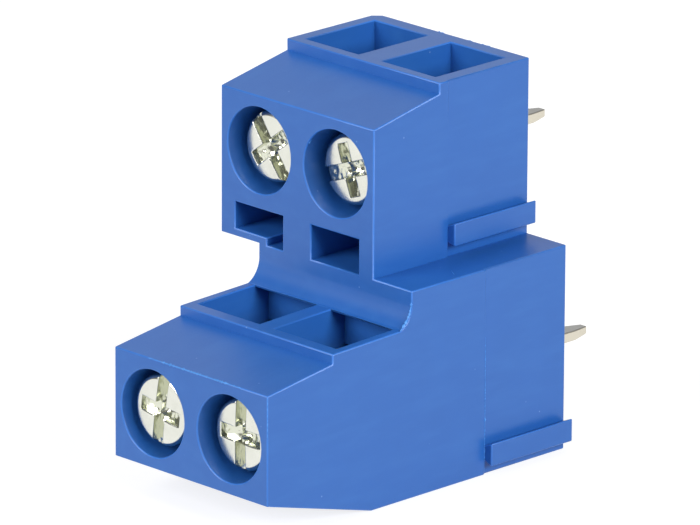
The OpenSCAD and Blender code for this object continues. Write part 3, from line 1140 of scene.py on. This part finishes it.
    def build_thread(self) -> None:
        """Makes the rolled thread: a V profile carried along a right-handed helix.

        A point at angle t stands at the thread's pitch times t / 2 pi along the axis, plus its
        place in the profile, and its radius goes from root to crest and back. The ridge runs out
        to the root over half a turn at both ends.
        """
        start = self.face_y + self.head_h + self.thread_start
        turns = (self.shank_y - self.thread_end - start) / THREAD_PITCH
        whole = turns * 2 * np.pi
        angle = np.linspace(0, whole, int(turns * self.turn_points))[:, None]
        foot, crest = self.thread_foot, self.thread_crest
        along = np.array([-foot, -crest, crest, foot])[None, :] * THREAD_PITCH
        height = np.array([0.0, 1.0, 1.0, 0.0])[None, :]
        runout = np.clip(np.minimum(angle, whole - angle) / np.pi, 0, 1)
        ridge = self.crest_r - self.root_r + self.thread_sink
        radius = self.root_r - self.thread_sink + ridge * height * runout
        points = np.stack([
            self.axis_x + radius * np.sin(angle),
            start + THREAD_PITCH * angle / (2 * np.pi) + along + 0 * radius,
            self.axis_z + radius * np.cos(angle),
        ], -1)
        faces = grid_faces(len(angle), len(height[0]), True)
        piece = object_from(f"{self.node}_thread", points.reshape(-1, 3), faces)
        piece.data.materials.append(self.finish)
        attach(piece, self.node)
        log.info("%s: %.1f turns", piece.name, turns)


# --- Studio ---


@dataclass(frozen=True)
class Softbox:
    """A soft square lamp that faces the block, with its sizes in metres and its power in watts."""

    name: str
    azimuth_deg: float
    elevation_deg: float
    distance: float
    size: float
    power: float
    aim: tuple[float, float, float] = (0.0, 0.0, 0.009)

    def build(self) -> None:
        """Adds the lamp, turned towards the point that it aims at."""
        back = towards(self.azimuth_deg, self.elevation_deg)
        data = bpy.data.lights.new(self.name, "AREA")
        data.shape, data.size, data.energy = "SQUARE", self.size, self.power
        made = bpy.data.objects.new(self.name, data)
        turn = (-back).to_track_quat("-Z", "Y").to_matrix().to_4x4()
        made.matrix_world = Matrix.Translation(Vector(self.aim) + back * self.distance) @ turn
        bpy.context.scene.collection.objects.link(made)


@dataclass
class Studio:
    """The floor, the soft lamps and the camera."""

    target: tuple[float, float, float] = (4.0, 10.0, 12.0)
    azimuth_deg: float = 45.4348896
    elevation_deg: float = 17.7150989
    roll_deg: float = 0.277058
    distance_mm: float = 434.18737
    aim_right_mm: float = 0.906989
    aim_up_mm: float = -2.01187
    sensor_mm: float = 36.0
    lens_mm: float = 480.83489485714284
    clip_near: float = 0.01
    clip_far: float = 20.0
    floor_size: float = 3.0
    surroundings_colour: str = "#FFFFFF"
    surroundings: float = 0.16
    lamps: tuple[Softbox, ...] = (
        Softbox("right_softbox", 86.0, 26.0, distance=0.6, size=0.26, power=3.1),
        Softbox("left_softbox", -14.0, 28.0, distance=0.6, size=0.36, power=2.7),
        Softbox("back_softbox", 228.0, 33.0, distance=0.7, size=0.9, power=1.3),
    )

    def camera(self) -> None:
        """Places the camera from its direction, roll and distance.

        Its level axis is square to the view and to +Z. The roll turns that and the upright axis
        about the view, and the camera then moves aside along both.
        """
        back = towards(self.azimuth_deg, self.elevation_deg)
        roll = math.radians(self.roll_deg)
        level = (-back).cross(Vector((0, 0, 1))).normalized()
        upright = level.cross(-back)
        right = math.cos(roll) * level + math.sin(roll) * upright
        up = math.cos(roll) * upright - math.sin(roll) * level
        place = Vector(self.target) - Vector(FRAME_SHIFT_MM) + back * self.distance_mm
        place += right * self.aim_right_mm + up * self.aim_up_mm
        data = bpy.data.cameras.new("studio_camera")
        data.sensor_width = self.sensor_mm
        data.lens = self.lens_mm
        data.clip_start, data.clip_end = self.clip_near, self.clip_far
        camera = bpy.data.objects.new("studio_camera", data)
        turn = Matrix((right, up, back)).transposed().to_4x4()
        camera.matrix_world = Matrix.Translation(place * MM) @ turn
        bpy.context.scene.collection.objects.link(camera)
        bpy.context.scene.camera = camera

    def floor(self) -> None:
        """Makes the pale floor, which keeps the block's shadow."""
        half = self.floor_size / 2
        corners = np.array([[-half, -half, 0], [half, -half, 0], [half, half, 0], [-half, half, 0]])
        piece = object_from("studio_floor", corners, [(0, 1, 2, 3)], smooth=False)
        piece.data.materials.append(MattCard().material())

    def lights(self) -> None:
        """Sets the plain grey surroundings and the soft lamps."""
        world = bpy.data.worlds.new("studio_surroundings")
        bpy.context.scene.world = world
        world.use_nodes = True
        sky = world.node_tree.nodes["Background"]
        sky.inputs["Color"].default_value = linear(self.surroundings_colour)
        sky.inputs["Strength"].default_value = self.surroundings
        for lamp in self.lamps:
            lamp.build()
        bpy.context.scene.view_settings.view_transform = "Standard"

    def build(self) -> None:
        """Sets up the camera, the floor and the lamps."""
        self.camera()
        self.floor()
        self.lights()
        log.info("studio: camera at %.0f mm", self.distance_mm)


def main() -> None:
    """Builds the studio and the block's pieces in order."""
    Studio().build()
    polyamide = MouldedPolyamide().material()
    # Rounded edges are painted paler than the walls: a painted highlight along them
    edge = MouldedPolyamide(
        "polyamide_edge_painted_highlight", colour="#3676CE", deep_colour="#3070C6", pale_colour="#3D7DD2"
    ).material()
    Housing(polyamide, edge).build()
    # Slivers are thin and painted paler still: a painted glow of light through them
    thin = MouldedPolyamide(
        "polyamide_flash_painted_glow",
        colour="#4C95E6", deep_colour="#458CDD", pale_colour="#5AA0EC",
    ).material()
    for seed, (name, (thickness, corners)) in enumerate(FLASH.items(), start=FIRST_FLASH_SEED):
        MouldFlash(name, corners, thickness, thin, seed).build()
    zinc = ZincPlate().material()
    tin = TinPlate().material()
    stainless = RolledStainless().material()
    for pole in Pole:
        Clamp(pole, tin).build()
        WireGuard(pole, stainless).build()
        screw = Screw(pole, zinc, SLOT_TURN_DEG[pole])
        screw.build()
        screw.build_thread()


if __name__ == "__main__":
    logging.basicConfig(level=logging.INFO, format="%(message)s")
    main()
